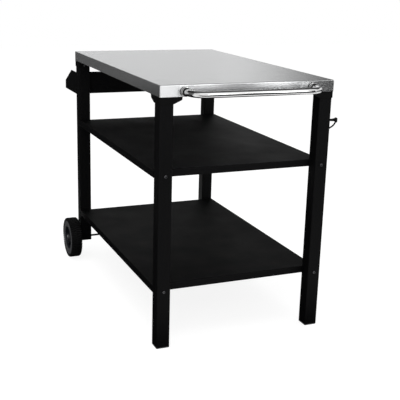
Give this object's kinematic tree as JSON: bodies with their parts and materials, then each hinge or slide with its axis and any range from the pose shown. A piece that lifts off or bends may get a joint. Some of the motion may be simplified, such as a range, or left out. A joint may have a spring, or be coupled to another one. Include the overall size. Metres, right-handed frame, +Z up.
{
  "type": "outdoor pizza oven table",
  "caption": "Wheeled outdoor oven table with a steel worktop on square legs, open shelves below, a side tray, a bent handle and a tool hook.",
  "frame": {"origin": "bottom centre of the bounding box, on the floor", "axes": "+X towards the handle end, with the wheels and the tray at the -X end, +Y towards the hook's side, +Z up"},
  "size_m": [1.235, 0.695, 0.85],
  "materials": {
    "worktop": "brushed stainless steel",
    "frame": "black powder coat",
    "tray": "black powder coat",
    "bracket": "black powder coat",
    "cap": "black moulded plastic",
    "handle": "polished steel",
    "tyre": "black rubber",
    "rim": "black moulded plastic",
    "hub_cap": "dark grey moulded plastic",
    "hook": "black powder coat",
    "zinc": "zinc plated",
    "black_screw": "black oxide"
  },
  "bodies": {
    "table": {"axle": "zinc", "axle_nuts": "zinc", "axle_spacers": "cap", "axle_washers": "zinc", "bracket_nuts": "zinc", "bracket_screws": "black_screw", "condiment_tray": "tray", "front_left_bracket": "bracket", "front_left_foot": "cap", "front_left_leg": "frame", "front_right_bracket": "bracket", "front_right_foot": "cap", "front_right_leg": "frame", "handle_bar": "handle", "handle_screws": "zinc", "hook_screws": "black_screw", "left_handle_boss": "handle", "left_tray_end": "tray", "leg_screws": "black_screw", "lower_shelf": "frame", "lower_shelf_stiffener": "frame", "mid_shelf": "frame", "mid_shelf_stiffener": "frame", "rear_left_bracket": "bracket", "rear_left_leg": "frame", "rear_left_leg_cap": "cap", "rear_right_bracket": "bracket", "rear_right_leg": "frame", "rear_right_leg_cap": "cap", "right_handle_boss": "handle", "right_tray_end": "tray", "shelf_bolts": "black_screw", "shelf_nuts": "zinc", "tabletop": "worktop", "tool_hook": "hook", "top_stiffener_left": "frame", "top_stiffener_right": "frame", "tray_screws": "black_screw"},
    "left_wheel": {"left_hub_cap": "hub_cap", "left_rim": "rim", "left_tyre": "tyre"},
    "right_wheel": {"right_hub_cap": "hub_cap", "right_rim": "rim", "right_tyre": "tyre"}
  },
  "joints": [
    {"name": "left_wheel_spin", "type": "hinge", "parent": "table", "child": "left_wheel", "pos_m": [-0.4195, -0.326, 0.082], "axis": [0, 1, 0], "continuous": true},
    {"name": "right_wheel_spin", "type": "hinge", "parent": "table", "child": "right_wheel", "pos_m": [-0.4195, 0.326, 0.082], "axis": [0, 1, 0], "continuous": true}
  ]
}
